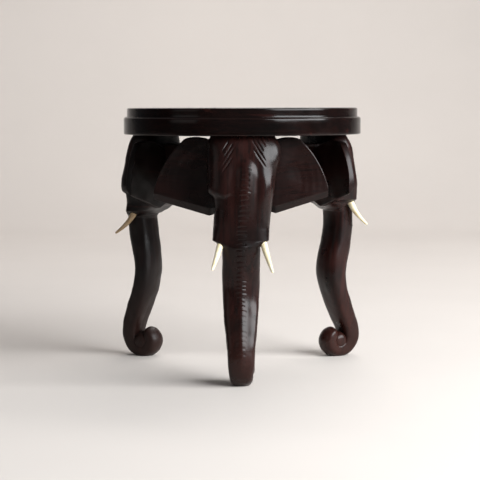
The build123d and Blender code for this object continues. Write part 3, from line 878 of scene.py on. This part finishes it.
def build_object():
    """The top, then each elephant's carving, neck, ears and tusks, then a plain wood for the hidden CAD pieces."""
    top_wood = rosewood("top_rosewood", (1.0, 0.12, 0.0), 0.12, 1.7, (0.13, 0.19))
    bone, shade_painted_bone = ivory("tusk_ivory"), ivory("shade_painted_tusk_ivory", PAINTED_TUSK_SHADE)
    finish_piece(turned_top(), top_wood, "dark_wood", "top_disc")
    for number, (elephant, turn) in enumerate(ELEPHANTS.items()):
        seed = 20 * number + 11
        habit = HABITS[elephant]
        node = f"{elephant}_head_and_trunk"
        outset = local_box(f"{elephant}_top_dowel", turn)[0][1] + DOWEL_RADIUS - DOWEL_R
        cheek_bottom = lowest_at(node, turn, CHEEK_R[0] + outset, CHEEK_R[1] + outset, CHEEK_LATERAL)
        under_head = lowest_at(node, turn, UNDER_HEAD_R[0] + outset, UNDER_HEAD_R[1] + outset)
        jaw_bottom = under_head - BACK_SLOPE
        wood = rosewood(f"{elephant}_rosewood", (0.03, 0.05, 1.0), habit["red"], 0.37 * seed, habit["polish"],
                        FOOT_WARMTH_HEIGHT)
        head = carving(f"{elephant}_carving", turn, cheek_bottom, jaw_bottom, outset, habit, seed)
        finish_piece(head, wood, "dark_wood", node)
        finish_piece(neck(f"{elephant}_neck", turn, under_head, outset), wood, "dark_wood", node)
        for word, side in SIDES.items():
            ear_node = f"{elephant}_{word}_ear"
            panel = ear(f"{ear_node}_panel", turn, side, ear_node, habit["shoulder"], seed + 3 + side)
            ear_grain = (math.cos(math.radians(turn)), math.sin(math.radians(turn)), 0.10 * side)
            ear_wood = rosewood(f"{ear_node}_rosewood", ear_grain, EAR_RED_SHARE * habit["red"], 0.53 * seed + side,
                                habit["polish"])
            finish_piece(panel, ear_wood, "dark_wood", ear_node)
            tusk_node = f"{elephant}_{word}_tusk"
            horn = tusk(f"{tusk_node}_horn", turn, side, tusk_node, habit["tusk"])
            finish_piece(horn, shade_painted_bone if elephant == SHADE_PAINTED_TUSKS else bone, "tusk", tusk_node)
    hidden = rosewood("hidden_dowel_wood", (0.0, 0.0, 1.0), 0.9, 4.0, (0.5, 0.7))
    for name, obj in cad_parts.items():
        if name.endswith(HIDDEN_PARTS):
            obj.data.materials.clear()
            obj.data.materials.append(hidden)


# ---------------------------------------------------------------- the studio, in metres

STAGE_HALF_WIDTH = 2.4
STAGE_FRONT_Y, SWEEP_Y = -2.5, 1.3
SWEEP_RADIUS = 0.9
WALL_TOP = 3.2
PALE_PAINT = (0.60, 0.555, 0.52)


def build_stage():
    """One plain surface that runs level under the stand and sweeps up into a wall behind it."""
    profile = [(STAGE_FRONT_Y, 0.0), (SWEEP_Y, 0.0)]
    for a in np.linspace(0, math.pi / 2, 24)[1:]:
        profile.append((SWEEP_Y + SWEEP_RADIUS * math.sin(a), SWEEP_RADIUS - SWEEP_RADIUS * math.cos(a)))
    profile.append((SWEEP_Y + SWEEP_RADIUS, WALL_TOP))
    rows, faces = [], []
    for y, z in profile:
        rows += [(-STAGE_HALF_WIDTH, y, z), (STAGE_HALF_WIDTH, y, z)]
    for i in range(len(profile) - 1):
        faces.append((2 * i, 2 * i + 1, 2 * i + 3, 2 * i + 2))
    floor = mesh_object("floor", rows, faces)
    floor.data.materials.append(pale("floor_paint", PALE_PAINT, 0.7))


def area_light(name, place, target, size, power, colour, spread=180.0):
    """A soft rectangular light that faces a target, with its power in watts and its spread in degrees."""
    data = bpy.data.lights.new(name, "AREA")
    data.shape = "RECTANGLE"
    data.size, data.size_y = size
    data.energy = power
    data.color = colour
    data.spread = math.radians(spread)
    obj = bpy.data.objects.new(name, data)
    obj.location = place
    obj.rotation_euler = (Vector(target) - Vector(place)).to_track_quat("-Z", "Y").to_euler()
    bpy.context.scene.collection.objects.link(obj)


def build_lights():
    """A large window-like key from the right, a weak fill, a back light, a wall light and a dim cool sky."""
    aim = (0.0, 0.0, 0.13)
    area_light("key", (1.15, -0.72, 0.80), aim, (1.5, 0.9), 60.0, (0.95, 0.98, 1.0))
    area_light("fill", (-1.5, -1.0, 0.7), aim, (0.9, 0.9), 1.5, (1.0, 0.98, 0.94))
    area_light("back", (0.4, 1.0, 1.5), aim, (1.2, 0.35), 11.0, (1.0, 0.98, 0.96))
    area_light("wall", (0.0, 0.9, 2.4), (0.0, 2.1, 0.5), (1.2, 0.5), 11.0, (1.0, 0.97, 0.95), 110.0)
    world = bpy.data.worlds.new("studio")
    world.use_nodes = True
    tree = world.node_tree
    # The sky is brighter behind the stand than in front of it, and dims to both sides.
    toward = axes(tree, tree.nodes.new("ShaderNodeTexCoord").outputs["Generated"])
    behind = remap(tree, toward[1], -0.2, 0.6, 0.15, 0.55)
    aside = remap(tree, multiply(tree, toward[0], toward[0]), 0.12, 0.5, 1.0, 0.16)
    sky = tree.nodes["Background"]
    tree.links.new(multiply(tree, behind, aside), sky.inputs[1])
    sky.inputs[0].default_value = (0.93, 0.95, 1.0, 1.0)
    bpy.context.scene.world = world


CAMERA_PLACE = (-0.0020, -1.321, 0.2225)
CAMERA_PITCH, CAMERA_ROLL = 5.005, -0.12  # degrees below level, and about its own axis
CAMERA_LENS, CAMERA_SENSOR = 116.8, 36.0


def build_camera():
    """The camera in front of the stand, a little above it and looking slightly down."""
    data = bpy.data.cameras.new("camera")
    data.sensor_width = CAMERA_SENSOR
    data.lens = CAMERA_LENS
    camera = bpy.data.objects.new("camera", data)
    camera.location = CAMERA_PLACE
    pitch = Matrix.Rotation(math.radians(90 - CAMERA_PITCH), 4, "X")
    camera.rotation_euler = (pitch @ Matrix.Rotation(math.radians(CAMERA_ROLL), 4, "Z")).to_euler()
    bpy.context.scene.collection.objects.link(camera)
    bpy.context.scene.camera = camera


build_object()
build_stage()
build_lights()
build_camera()
bpy.context.scene.view_settings.view_transform = "Standard"
